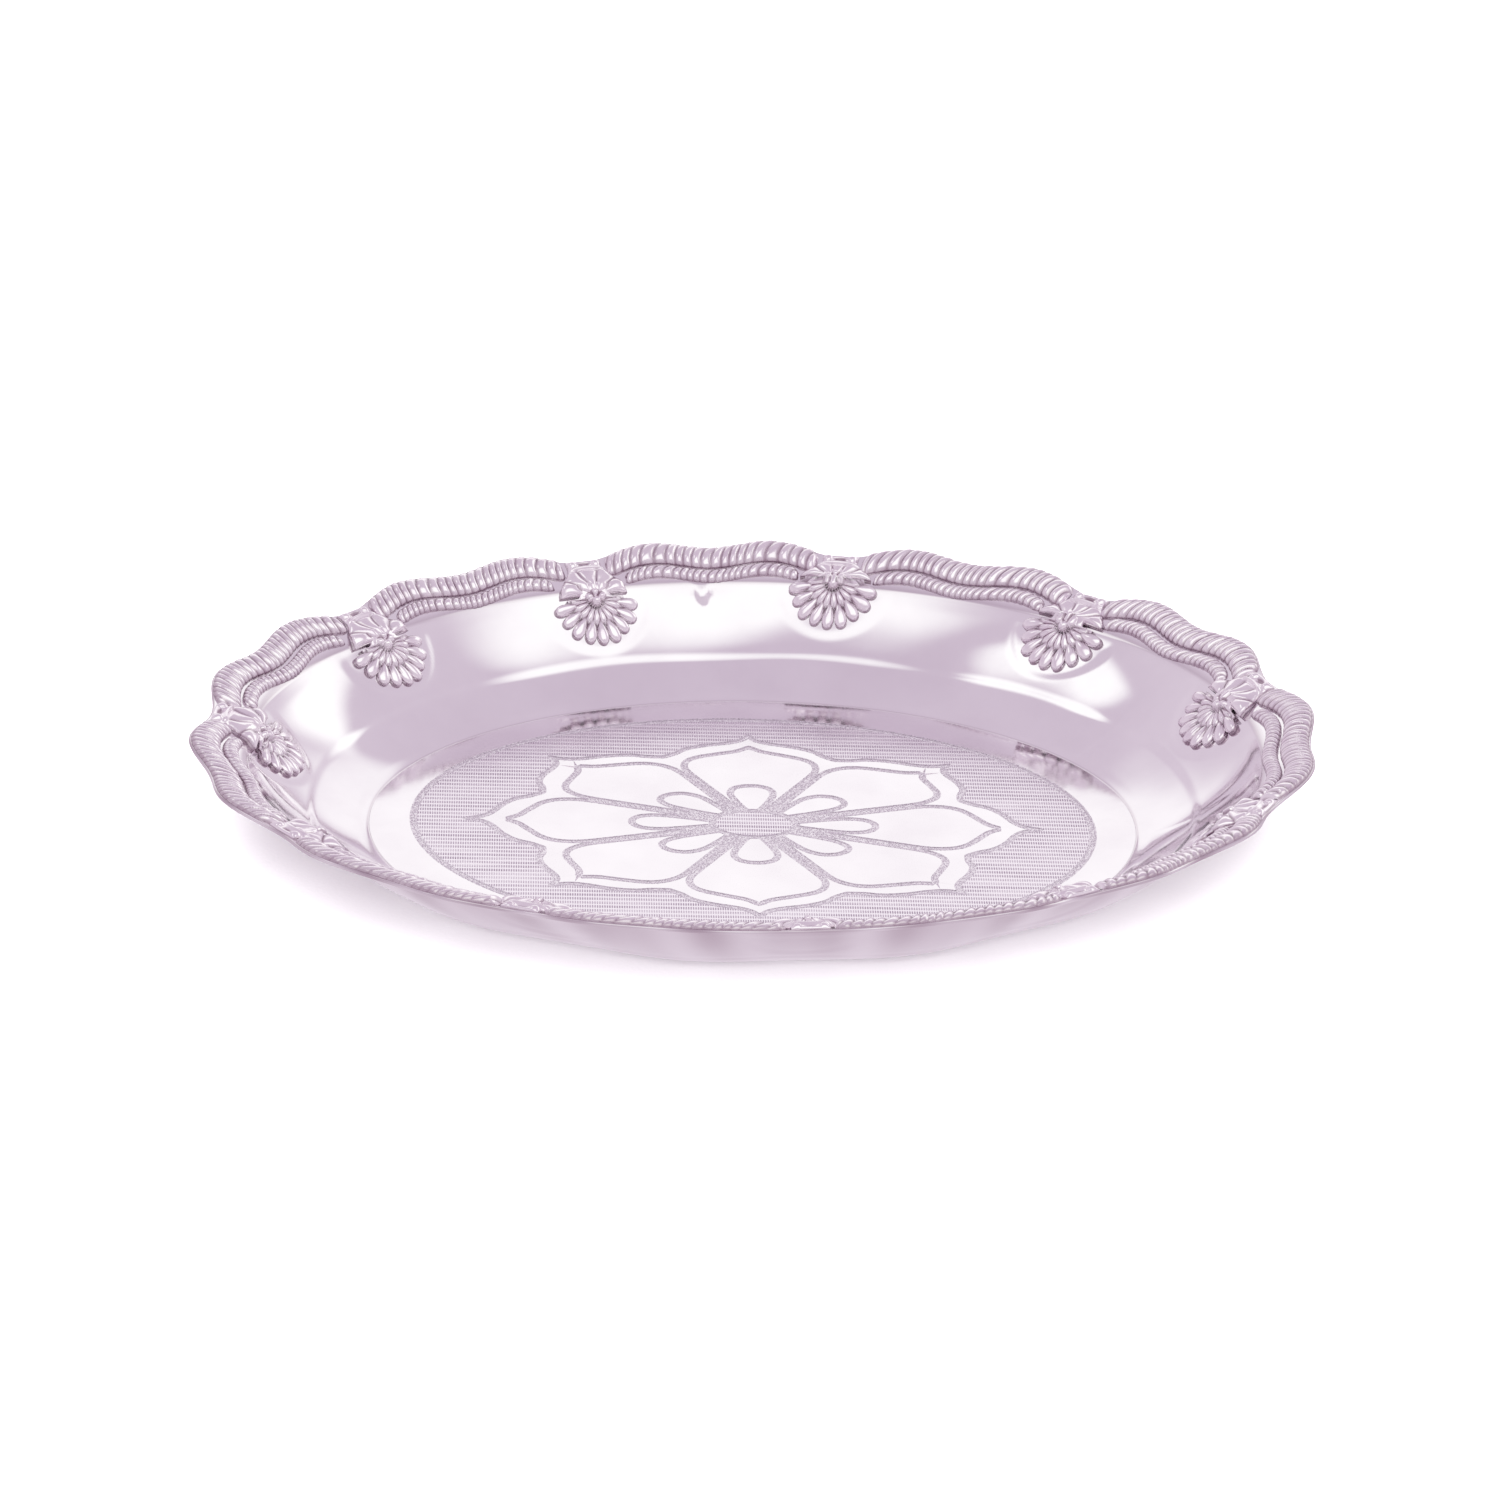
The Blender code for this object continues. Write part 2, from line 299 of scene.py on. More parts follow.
def make_piece(name, points, faces, materials, tarnish_and_shade, material_of=None, flat=None):
    """A smooth mesh object, with a share of tarnish colour at each point: tarnish in the castings'
    hollows, painted shade and a darker line on the plate, and a painted dark reflection in the collars'
    eyes.
    """
    mesh = bpy.data.meshes.new(name)
    mesh.from_pydata(np.asarray(points).reshape(-1, 3).tolist(), [], faces)
    for material in materials:
        mesh.materials.append(material)
    mesh.polygons.foreach_set("use_smooth", [True] * len(faces))
    if material_of is not None:
        mesh.polygons.foreach_set("material_index", material_of)
    if flat is not None:
        mesh.polygons.foreach_set("use_smooth", [not f for f in flat])
    layer = mesh.attributes.new("tarnish_and_shade", "FLOAT", "POINT")
    layer.data.foreach_set("value", np.asarray(tarnish_and_shade, np.float32).ravel())
    mesh.update()
    made = bpy.data.objects.new(name, mesh)
    bpy.context.scene.collection.objects.link(made)
    return made


def finish_piece(made, slot, *nodes):
    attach(made, "root")
    if nodes:
        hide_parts(*nodes)


# ---------------------------------------------------------------- engraving

def smooth_line(points):
    """Catmull-Rom curve through the points."""
    points = np.asarray(points, float)
    padded = np.vstack([2 * points[0] - points[1], points, 2 * points[-1] - points[-2]])
    t = np.linspace(0.0, 1.0, SPLINE_STEPS, endpoint=False)[:, None]
    spans = []
    for a, b, c, d in zip(padded, padded[1:], padded[2:], padded[3:]):
        spans.append(0.5 * (2 * b + (c - a) * t + (2 * a - 5 * b + 4 * c - d) * t ** 2
                            + (3 * b - a - 3 * c + d) * t ** 3))
    return np.vstack(spans + [points[-1:]])


def whole_outline(half, pointed):
    """Both sides of a petal from its half outline, through its tip."""
    half = np.asarray(half) * MM
    if pointed:
        side = smooth_line(half)
        return np.vstack([side, side[::-1][1:] * (1, -1)])
    return smooth_line(np.vstack([half, half[::-1][1:] * (1, -1)]))


def on_floor(design):
    """From the round design to the tray's own X and Y."""
    x, y = design[..., 0], design[..., 1] * DESIGN_SQUEEZE
    c, s = math.cos(DESIGN_TURN), math.sin(DESIGN_TURN)
    return np.stack([x * c - y * s, x * s + y * c], axis=-1)


def in_design(place):
    """Back from the tray's X and Y to the round design."""
    c, s = math.cos(DESIGN_TURN), math.sin(DESIGN_TURN)
    x, y = place[..., 0] * c + place[..., 1] * s, -place[..., 0] * s + place[..., 1] * c
    return np.stack([x, y / DESIGN_SQUEEZE], axis=-1)


def turned(line, turn):
    c, s = math.cos(turn), math.sin(turn)
    return np.stack([line[:, 0] * c - line[:, 1] * s, line[:, 0] * s + line[:, 1] * c], axis=-1)


def resampled(line, step):
    """The same polyline with its points spread evenly, about a step apart."""
    way = np.concatenate([[0.0], np.cumsum(np.hypot(*np.diff(line, axis=0).T))])
    count = max(2, round(way[-1] / step))
    goal = np.linspace(0.0, way[-1], count + 1)
    return np.stack([np.interp(goal, way, line[:, 0]), np.interp(goal, way, line[:, 1])], axis=-1)


def engraved_lines():
    """Centre lines of everything engraved, as polylines on the floor."""
    lines = []
    for k in range(PETALS):
        turn = 2 * math.pi * k / PETALS
        for half, pointed in ((PETAL, True), (SMALL_PETAL, False), (OUTLINE, True)):
            lines.append(on_floor(turned(whole_outline(half, pointed), turn)))
    round_angles = np.linspace(0.0, 2 * math.pi, ROUND_STEPS + 1)
    for radius in (BAND_RADIUS, CENTRE_RADIUS):
        circle = np.stack([np.cos(round_angles), np.sin(round_angles)], axis=-1) * radius
        lines.append(on_floor(circle))
    return lines


def line_section(off):
    """Depth of a double line at a distance from its middle: two cuts and a sunk floor."""
    half = LINE_WIDTH / 2
    cut = LINE_DEPTH * np.clip(1 - np.abs(off - CUT_MIDDLE * half) / (CUT_HALF_WIDTH * half), 0.0, 1.0)
    sunk = SUNK_DEPTH * LINE_DEPTH * (1 - fade(off, SUNK_EDGE[0] * half, SUNK_EDGE[1] * half))
    return np.maximum(cut, sunk)


def outline_radius(direction):
    """Radius of the lotus's outline at a direction in the design."""
    side = smooth_line(np.asarray(OUTLINE) * MM)
    along = np.arctan2(side[:, 1], side[:, 0])[::-1]
    radius = np.hypot(side[:, 0], side[:, 1])[::-1]
    step = 2 * math.pi / PETALS
    folded = np.abs((direction + step / 2) % step - step / 2)
    return np.interp(folded, along, radius)


class Floor:
    """Triangles of the engraved floor, whose border is the dish's first ring."""

    def __init__(self, border):
        start = len(border)
        places = [border]
        edges = [(i, (i + 1) % start) for i in range(start)]
        lines = engraved_lines()
        self.measure(np.vstack([resampled(line, LINE_STEP / LINE_SAMPLES) for line in lines]))
        for line in lines:
            line = resampled(line, LINE_STEP)
            heading = np.gradient(line, axis=0)
            heading /= np.hypot(*heading.T)[:, None]
            normal = np.stack([-heading[:, 1], heading[:, 0]], axis=-1)
            for offset in RAILS:
                shifted = line + normal * offset
                clear = np.flatnonzero(self.distance(shifted) > abs(offset) - CROWDED)
                places.append(shifted[clear])
                unbroken = np.flatnonzero(np.diff(clear) == 1).tolist()
                edges += [(start + i, start + i + 1) for i in unbroken]
                start += len(clear)
        self.triangulate(np.vstack(places), edges, len(border))

    def measure(self, dense):
        """Readies distance() to the engraved lines."""
        self.tree = KDTree(len(dense))
        for i, place in enumerate(dense):
            self.tree.insert((place[0], place[1], 0.0), i)
        self.tree.balance()

    def distance(self, places):
        return np.array([self.tree.find((x, y, 0.0))[2] for x, y in places])

    def triangulate(self, places, edges, border_count):
        """Triangles between all the places, the border's points among them, and their depths."""
        scaled = [Vector(p) for p in (places / MM).tolist()]
        found = delaunay_2d_cdt(scaled, edges, [], 0, MERGE_WITHIN, True)
        self.places = np.array([tuple(v) for v in found[0]]) * MM
        self.faces = [tuple(f) for f in found[2]]
        self.border = np.full(border_count, -1)
        for i, sources in enumerate(found[3]):
            for source in sources:
                if source < border_count:
                    self.border[source] = i
        self.depth = line_section(self.distance(self.places))
        self.depth[self.border] = 0.0
        self.depth[self.depth < SHALLOWEST] = 0.0

    def zones(self):
        """0 polished, 1 in a line, 2 hatched, for each face; and which faces are shaded flat."""
        corners = np.array(self.faces)
        middle = self.places[corners].mean(axis=1)
        design = in_design(middle)
        radius = np.hypot(design[:, 0], design[:, 1])
        outline = outline_radius(np.arctan2(design[:, 1], design[:, 0]))
        hatched = ((radius > outline) & (radius < BAND_RADIUS)) | (radius < CENTRE_RADIUS)
        zone = np.where(hatched, 2, 0)
        zone[self.distance(middle) < LINE_WIDTH / 2] = 1
        level = (self.depth[corners].max(axis=1) == 0.0) | (zone != 1)
        return zone, level


# ---------------------------------------------------------------- the sheet

STATIONS_PER_SECTOR = 72
WALL_RINGS = 56
GROOVE_RINGS = 6
FLANGE_RINGS = 8
BACK_RINGS = 3                 # under the flange
UNDER_RINGS = 44
EDGE_STEPS = 6
WALL_START = 1.1 * MM          # reach of the wall's first ring past the groove
BEND_LINE = 0.35 * MM          # half width of the darker line along the wall's top edge
BEND_DARKENING = 0.35
# painted shade darkening the groove along the crease
GROOVE_SHADE = 0.3
UNDERSIDE_SHADE = 0.75          # painted shade under the rim, darkest under the flange and less and less towards the foot
# The painted shade there is uneven: its usual share, and waves round the tray with their sizes
SHADE_PATCH_MEAN = 0.6
SHADE_PATCHES = ((29, 0.25), (47, 0.15))
SHADE_PATCH_SLANT = 2.5


def build_sheet(materials):
    """The pressed sheet as one closed skin, from the crease out, round the edge and back under."""
    share = np.tile(np.arange(STATIONS_PER_SECTOR) / STATIONS_PER_SECTOR, SECTORS)
    sector = np.repeat(np.arange(SECTORS), STATIONS_PER_SECTOR)
    station = station_in(sector, share)
    count = len(station)
    edge = edge_reach(share) - EDGE_RETREAT
    half_sheet = SHEET / 2

    rings = []
    kept_tarnish_and_shade = []
    groove = np.linspace(0.0, GROOVE_END, GROOVE_RINGS)
    for out in np.concatenate([groove, np.linspace(WALL_START, WALL_REACH, WALL_RINGS)]):
        reach = np.full(count, out)
        lift = relief(station, reach) - GROOVE_DEPTH * crease_groove(reach)
        rings.append(on_dish(station, reach, lift))
        # painted shade in the crease's groove, and a darker line along the wall's top edge
        at_bend = BEND_DARKENING * np.exp(-((out - WALL_REACH) / BEND_LINE) ** 2)
        kept_tarnish_and_shade.append(np.maximum(GROOVE_SHADE * crease_groove(reach), at_bend))
    for out in np.linspace(0.0, 1.0, FLANGE_RINGS + 1)[1:]:
        reach = WALL_REACH + (edge - half_sheet - WALL_REACH) * out
        rings.append(on_dish(station, reach, np.zeros(count)))
        kept_tarnish_and_shade.append(np.zeros(count))
    for around in np.linspace(0.0, math.pi, EDGE_STEPS + 1)[1:]:
        reach = edge - half_sheet + half_sheet * math.sin(around)
        rings.append(on_dish(station, reach, np.full(count, half_sheet * (math.cos(around) - 1))))
    for out in np.linspace(1.0, 0.0, BACK_RINGS + 1)[1:]:
        reach = WALL_REACH + (edge - half_sheet - WALL_REACH) * out
        rings.append(on_dish(station, reach, np.full(count, -SHEET)))
    for up in np.linspace(1.0, 0.0, UNDER_RINGS + 1)[1:]:
        reach = np.full(count, WALL_REACH * up)
        rings.append(on_dish(station, reach, relief(station, reach) - SHEET))
    # painted shade under the rim: darkest under the flange, fading to the foot, in uneven patches round
    # the tray
    way_round = 2 * math.pi * station / SECTORS
    for up in np.linspace(1.0, 0.0, len(rings) - len(kept_tarnish_and_shade)):
        shade_patches = [size * np.sin(waves * way_round + SHADE_PATCH_SLANT * up) for waves, size in SHADE_PATCHES]
        kept_tarnish_and_shade.append(UNDERSIDE_SHADE * up * sum(shade_patches, SHADE_PATCH_MEAN))
    points = np.vstack(rings)
    faces = grid_faces(len(rings), count, closed=True)
    faces.append(list(range(len(points) - count, len(points))))
    zone = [0] * len(faces)
    level = [False] * (len(faces) - 1) + [True]

    floor = Floor(rings[0][:, :2])
    new_index = np.full(len(floor.places), -1)
    new_index[floor.border] = np.arange(count)
    inner = np.flatnonzero(new_index < 0)
    new_index[inner] = len(points) + np.arange(len(inner))
    height = SHEET - floor.depth[inner]
    points = np.vstack([points, np.column_stack([floor.places[inner], height])])
    faces += [tuple(new_index[list(f)].tolist()) for f in floor.faces]
    floor_zone, floor_level = floor.zones()
    zone += floor_zone.tolist()
    level += floor_level.tolist()

    kept_tarnish_and_shade = np.concatenate(kept_tarnish_and_shade + [np.zeros(len(inner))])
    made = make_piece("fine_plate_body", points, faces, materials, kept_tarnish_and_shade, zone, level)
    finish_piece(made, "plate_silver", "plate_body")


# ---------------------------------------------------------------- ropes

RIDGE_STEPS = 12
FINER_AT_ENDS = 0.25           # the ridges sit closer towards the tray's two ends
ROPE_ACROSS = 18
# The ridges' uneven spacing: size in ridges, waves along a length, turn from sector to sector
RIDGE_WANDER = ((0.3, 9.0, 1), (0.2, 23.0, 2))
RIDGE_SLANT = 0.45
RIDGE_BOW = 0.35
RIDGE_FULLNESS = 0.6           # below 1, a ridge is broad and the cut beside it narrow
RIDGE_VARIETY = 0.12           # how much ridges differ in height
CORE = 0.58                    # height of the cuts between ridges, as a share of the ridges'
CUT_FOOT = 0.93                # and their width
LIP_EDGE = (0.25, 0.7)         # places across the rope between which the lip sets in
LIP_HEIGHT = 0.8
END_WIDTH = 0.45               # of a rope's blunt end, as a share of the rope's
END_START = 0.02
SECTION_ROUNDNESS = 0.8
CREST = (0.15, 0.8)            # heights of a ridge between which the tarnish is worn off
FLANK_WEAR = 0.3               # wear at the rope's foot, as a share of the wear on top
FLANK = (0.1, 0.75)
UNEVEN_TURN = 2.4              # how the ridges' heights differ from one to the next, and along
UNEVEN_ALONG = 5.0


def build_rope(name, node, sector, rope, material):
    """A gadrooned half-round: curved slanting lobes over a half-round core."""
    sector_way = SECTOR_LENGTH * (joint_station(sector + 1) - joint_station(sector))
    way = sector_way * (1 - 2 * rope["end"])
    end_on = abs(math.cos(float(angle_at(station_in(sector, 0.5)))))
    ridges = round(float(way) / (rope["pitch"] * (1.0 - FINER_AT_ENDS * end_on)))
    along = np.linspace(0.0, 1.0, ridges * RIDGE_STEPS + 1)[:, None]
    around = np.linspace(0.0, math.pi, ROPE_ACROSS + 1)[None, :]
    across = -np.cos(around)
    wander = sum(size * np.sin(waves * along + turn * sector) for size, waves, turn in RIDGE_WANDER)
    phase = along * ridges + wander + RIDGE_SLANT * across + RIDGE_BOW * across ** 2
    lobe = np.abs(np.sin(math.pi * phase)) ** RIDGE_FULLNESS
    uneven = np.sin(UNEVEN_TURN * np.floor(phase) + UNEVEN_ALONG * along)
    uneven = 1 - RIDGE_VARIETY + RIDGE_VARIETY * uneven
    plain = rope["lip"] * fade(across, *LIP_EDGE)
    rounded = uneven * lobe * (1 - plain) + LIP_HEIGHT * plain
    from_end = np.minimum(along, 1 - along) * way
    inward = np.clip(from_end / ROPE_END_TAPER, END_START, 1.0)
    taper = np.sqrt(np.clip(1 - (1 - inward) ** 2, 0, 1))
    swell = CORE + (1 - CORE) * rounded
    narrowing = (CUT_FOOT + (1 - CUT_FOOT) * rounded) * (END_WIDTH + (1 - END_WIDTH) * taper)
    half = rope["width"] / 2 * narrowing
    section = np.sin(around) ** SECTION_ROUNDNESS
    lift = (rope["height"] + SHELL_FOOT) * section * swell * taper - ROPE_SINK
    share = rope["end"] + (1 - 2 * rope["end"]) * along + 0 * around
    middle = edge_reach(share) - rope["inset"]
    reach = middle + half * across * math.cos(FLANGE_SLOPE)
    points = on_flange(station_in(sector, share), reach, lift)
    rows, columns = points.shape[:2]
    faces = grid_faces(rows, columns, closed=True)
    faces.append(list(range(columns)))
    faces.append(list(range((rows - 1) * columns, rows * columns)))
    worn = FLANK_WEAR + (1 - FLANK_WEAR) * fade(np.sin(around), *FLANK)
    tarnish_and_shade = 1 - fade(rounded, *CREST) * worn
    made = make_piece(name, points, faces, [material], tarnish_and_shade)
    made.data.flip_normals()
    finish_piece(made, "border_silver", node)


# ---------------------------------------------------------------- shells

FINGER_STEPS = 22
HOOD_STEPS = 34
FAN_RINGS = 40
FAN_START = 0.03               # the first ring's radius, as a share of the outline's
FINGER_VARIETY = 0.3 * MM      # how much the fingers differ in reach
SPOON_FULLNESS = 2.2           # power of the rounded end's outline
SPOON_SIDE = 0.96              # how far a spoon falls off towards the finger's sides
LEAF_SIDE = 0.95
STEM_HALF_WIDTH = 0.62         # as a share of the finger's
STEM_ROUNDNESS = 0.6
OUTLINE_TURN = (-0.04, 0.22)   # angles past the last finger over which the outline becomes the hood
HEIGHT_TURN = (-0.05, 0.1)     # and over which the height does
# Heights above the foot, in mm: (at the edge, added at the crest)
FINGER_BASE = 0.35
SPOON_HEIGHT = 1.25
STEM_HEIGHT = 0.8
LEAF_HEIGHTS = (1.05, 0.95)
HOOD_HEIGHTS = (1.0, 0.5)
KNOB_BASE = 1.3
KNOB_BEADS = [(0.0, 0.4, 1.5), (-1.9, -0.9, 1.2), (1.9, -0.9, 1.2), (0.0, -2.2, 1.1)]
# Tarnish: found where the castings lie lower than a few points to each side, or low over all
BESIDE_STEPS = 4
BESIDE_DEPTH = 0.4 * MM
LOW = (0.25 * MM, 0.6 * MM)
LOW_TARNISH = 0.9
FINGER_TURN = 2.4              # how their lengths differ from one to the next


def across_finger(angle, offset=0.0):
    """Finger number, and the place across it from -1 to 1, at an angle of the fan."""
    step = 2 * FAN_HALF_ANGLE / FINGERS
    place = (angle + FAN_HALF_ANGLE) / step + offset
    number = np.floor(place)
    return number, np.clip(2 * (place - number) - 1, -1.0, 1.0)


def finger_reach(number):
    off_middle = np.clip(np.abs(2 * (number + 0.5) / FINGERS - 1), 0.0, 1.0)
    uneven = FINGER_VARIETY * np.sin(number * FINGER_TURN)
    return FINGER_REACH + (SIDE_FINGER_REACH - FINGER_REACH) * off_middle ** 2 + uneven


def fan_edge(angle):
    """Radius of the fan's scalloped outline, with a plain hood towards the rim."""
    number, across = across_finger(angle)
    spoon = np.sqrt(np.clip(1 - np.abs(across) ** SPOON_FULLNESS, 0.0, 1.0))
    scallop = finger_reach(number) - SPOON_LENGTH * (1 - spoon)
    beyond = fade(np.abs(angle) - FAN_HALF_ANGLE, *OUTLINE_TURN)
    return scallop * (1 - beyond) + HOOD_REACH * beyond


def oval_swell(along, across):
    """Height of a dome, 1 at its middle and 0 outside it."""
    return np.sqrt(np.clip(1 - along ** 2 - across ** 2, 0.0, 1.0))


def fan_height(angle, radius):
    """Height above the foot: spoon-ended fingers, a short upper tier and a beaded knob."""
    number, across = across_finger(angle)
    middle = finger_reach(number) - SPOON_LENGTH
    spoon = oval_swell((radius - middle) / SPOON_LENGTH, SPOON_SIDE * across)
    stem = np.clip(1 - np.abs(across) / STEM_HALF_WIDTH, 0.0, 1.0) ** STEM_ROUNDNESS * (radius < middle)
    lower = (FINGER_BASE + np.maximum(SPOON_HEIGHT * spoon, STEM_HEIGHT * stem)) * MM
    _, between = across_finger(angle, 0.5)
    middle = UPPER_REACH - UPPER_LENGTH
    leaf = oval_swell((radius - middle) / UPPER_LENGTH, LEAF_SIDE * between)
    upper = np.where(leaf > 0, (LEAF_HEIGHTS[0] + LEAF_HEIGHTS[1] * leaf) * MM, 0.0)
    hood = (HOOD_HEIGHTS[0] + HOOD_HEIGHTS[1] * oval_swell(radius / HOOD_REACH, 0.0)) * MM
    fan = np.maximum(lower, upper)
    beyond = fade(np.abs(angle) - FAN_HALF_ANGLE, *HEIGHT_TURN)
    height = fan * (1 - beyond) + hood * beyond
    x, y = radius * np.sin(angle), radius * np.cos(angle)
    for bead_x, bead_y, bead in KNOB_BEADS:
        off = np.hypot(x - bead_x * MM, y - bead_y * MM) / (bead * MM)
        dome = (KNOB_BASE + bead * np.sqrt(np.clip(1 - off ** 2, 0.0, 1.0))) * MM
        height = np.where(off < 1, np.maximum(height, dome), height)
    return height


def shell_frame(joint, along, down):
    """Station and reach of a place beside and below a shell's knob, and the foot's lift there."""
    reach = reach_below_notch(KNOB_DROPS[joint] + down)
    station = joint_station(joint) + along / SECTOR_LENGTH
    off_bend = (reach - WALL_REACH) / BEND_CLEARANCE_REACH
    foot = SHELL_FOOT + BEND_CLEARANCE * np.exp(-off_bend ** 2) + relief(station, reach)
    return station, reach, foot


def build_fan(name, node, joint, material):
    """A cast shell: rings of points from the knob to the scalloped edge, and a skirt to the wall."""
    fingers = np.linspace(-FAN_HALF_ANGLE, FAN_HALF_ANGLE, FINGERS * FINGER_STEPS + 1)
    hood = np.linspace(FAN_HALF_ANGLE, 2 * math.pi - FAN_HALF_ANGLE, HOOD_STEPS + 1)[1:-1]
    angle = np.concatenate([fingers, (hood + math.pi) % (2 * math.pi) - math.pi])[None, :]
    sides = angle.shape[1]
    share = np.linspace(FAN_START, 1.0, FAN_RINGS)[:, None]
    radius = fan_edge(angle) * share
    height = fan_height(angle, radius)
    station, reach, foot = shell_frame(joint, radius * np.sin(angle), radius * np.cos(angle))
    top = on_dish(station, reach, foot + height)
    skirt = on_dish(station[-1:], reach[-1:], relief(station[-1:], reach[-1:]) - ROPE_SINK)
    points = np.vstack([top.reshape(-1, 3), skirt.reshape(-1, 3)])
    faces = grid_faces(FAN_RINGS + 1, sides, closed=True)
    faces.append(list(range(sides))[::-1])
    faces.append(list(range(FAN_RINGS * sides, (FAN_RINGS + 1) * sides)))
    beside = [np.roll(height, shift, axis=1) for shift in (-BESIDE_STEPS, BESIDE_STEPS)]
    below = np.maximum(np.mean(beside, axis=0) - height, 0.0) / BESIDE_DEPTH
    low = 1 - fade(height, *LOW)
    tarnish_and_shade = np.clip(below + LOW_TARNISH * low, 0.0, 1.0)
    tarnish_and_shade = np.concatenate([tarnish_and_shade.ravel(), np.ones(sides)])
    made = make_piece(name, points, faces, [material], tarnish_and_shade)
    made.data.flip_normals()
    finish_piece(made, "border_silver", node)


COLLAR_ROWS = 64
COLLAR_COLUMNS = 96
COLLAR_OVERLAP = 1.6 * MM      # the collar starts this far above the knob
COLLAR_END = 0.45 * MM
COLLAR_HALF_WIDTH = 4.7 * MM   # at the notch
COLLAR_FLARE = 5.2 * MM        # added at the fan
FLARE_START = 2.6 * MM
COLLAR_BASE = 0.75             # heights, in mm, of the plain casting and of what is raised on it
COLLAR_RIM = 0.1 * MM
COLLAR_SIDE = 0.4              # share of the half width over which the sides round off
COLLAR_ENDS = (0.14, 0.15)     # shares of the length over which the two ends do
LEAVES = 5.5                   # to a half turn round the knob
LEAF_HEIGHT = 0.85
LEAF_FULLNESS = 0.6
LEAF_TOPS = (0.3 * MM, 1.8 * MM)   # distances below the ribbon over which the leaves come up
LEAF_GAP = (0.2, 0.6)
RIBBON_DROP = 3.7 * MM
RIBBON_SAG = 0.9 * MM
RIBBON_HALF_WIDTH = 0.75 * MM
RIBBON_HEIGHT = 0.85
EYE_DROP = 1.9 * MM
EYE_SIZE = (0.7 * MM, 1.9 * MM)
EYE_DEPTH = 0.6
SCROLL_ASIDE = 3.4 * MM        # a scroll on either side of the eye
SCROLL_RADIUS = 1.4 * MM
SCROLL_HEIGHT = 0.7
IN_EYE = (0.3, 0.8)
AT_SIDE = (0.6, 1.0)
COLLAR_TARNISH_AND_REFLECTION = (1.3, 0.4, 0.9)   # in the eye, a painted dark reflection; at the sides and between the leaves, tarnish


def build_collar(name, joint, material):
    """The casting between two rope ends: leaves round the knob, a ribbon and an eye at the notch."""
    along = np.linspace(0.0, 1.0, COLLAR_ROWS)[:, None]
    across = np.linspace(-1.0, 1.0, COLLAR_COLUMNS)[None, :]
    knob = KNOB_DROPS[joint]
    start = knob - COLLAR_OVERLAP
    drop = start + (COLLAR_END - start) * along + 0 * across
    flare = fade(drop, FLARE_START, start)
    beside = across * (COLLAR_HALF_WIDTH + COLLAR_FLARE * flare)
    station, reach, foot = shell_frame(joint, beside, drop - knob)
    ribbon_at = RIBBON_DROP + RIBBON_SAG * across ** 2
    ribbon = RIBBON_HEIGHT * np.exp(-((drop - ribbon_at) / RIBBON_HALF_WIDTH) ** 2)
    round_knob = np.arctan2(beside, knob - drop)
    leaf = np.abs(np.cos(LEAVES * round_knob)) ** LEAF_FULLNESS
    on_leaves = fade(drop - RIBBON_DROP, *LEAF_TOPS)
    eye = np.exp(-((drop - EYE_DROP) / EYE_SIZE[0]) ** 2 - (beside / EYE_SIZE[1]) ** 2)
    scroll_at = np.hypot(drop - EYE_DROP, np.abs(beside) - SCROLL_ASIDE) / SCROLL_RADIUS
    scroll = SCROLL_HEIGHT * np.sqrt(np.clip(1 - scroll_at ** 2, 0.0, 1.0))
    past_side = np.clip((np.abs(across) - (1 - COLLAR_SIDE)) / COLLAR_SIDE, 0, 1)
    side = np.sqrt(np.clip(1 - past_side ** 2, 0, 1))
    from_end = np.minimum(along / COLLAR_ENDS[0], (1 - along) / COLLAR_ENDS[1])
    end = np.sqrt(np.clip(1 - (1 - np.clip(from_end, 0.0, 1.0)) ** 2, 0, 1))
    ornament = np.maximum.reduce([ribbon, LEAF_HEIGHT * leaf * on_leaves, scroll])
    raised = COLLAR_BASE + ornament - EYE_DEPTH * eye
    height = raised * MM * side * end + COLLAR_RIM
    top = on_dish(station, reach, foot + height)
    base = on_dish(station, reach, relief(station, reach) - ROPE_SINK)
    rows, columns = top.shape[:2]
    section = np.concatenate([top, base[:, ::-1]], axis=1)
    faces = grid_faces(rows, 2 * columns, closed=True)
    faces.append(list(range(2 * columns))[::-1])
    faces.append(list(range((rows - 1) * 2 * columns, rows * 2 * columns)))
    between = on_leaves * (1 - fade(leaf, *LEAF_GAP))
    # the eye's dent is real and its darkness is a painted dark reflection; the sides and between the
    # leaves keep tarnish
    places = (fade(eye, *IN_EYE), fade(1 - side, *AT_SIDE), between)
    tarnish_and_shade = sum(share * place for share, place in zip(COLLAR_TARNISH_AND_REFLECTION, places))
    tarnish_and_shade = np.clip(tarnish_and_shade, 0.0, 1.0)
    tarnish_and_shade = np.concatenate([tarnish_and_shade, np.ones_like(tarnish_and_shade)], axis=1)
    made = make_piece(name, section, faces, [material], tarnish_and_shade)
    finish_piece(made, "border_silver")


# ---------------------------------------------------------------- materials

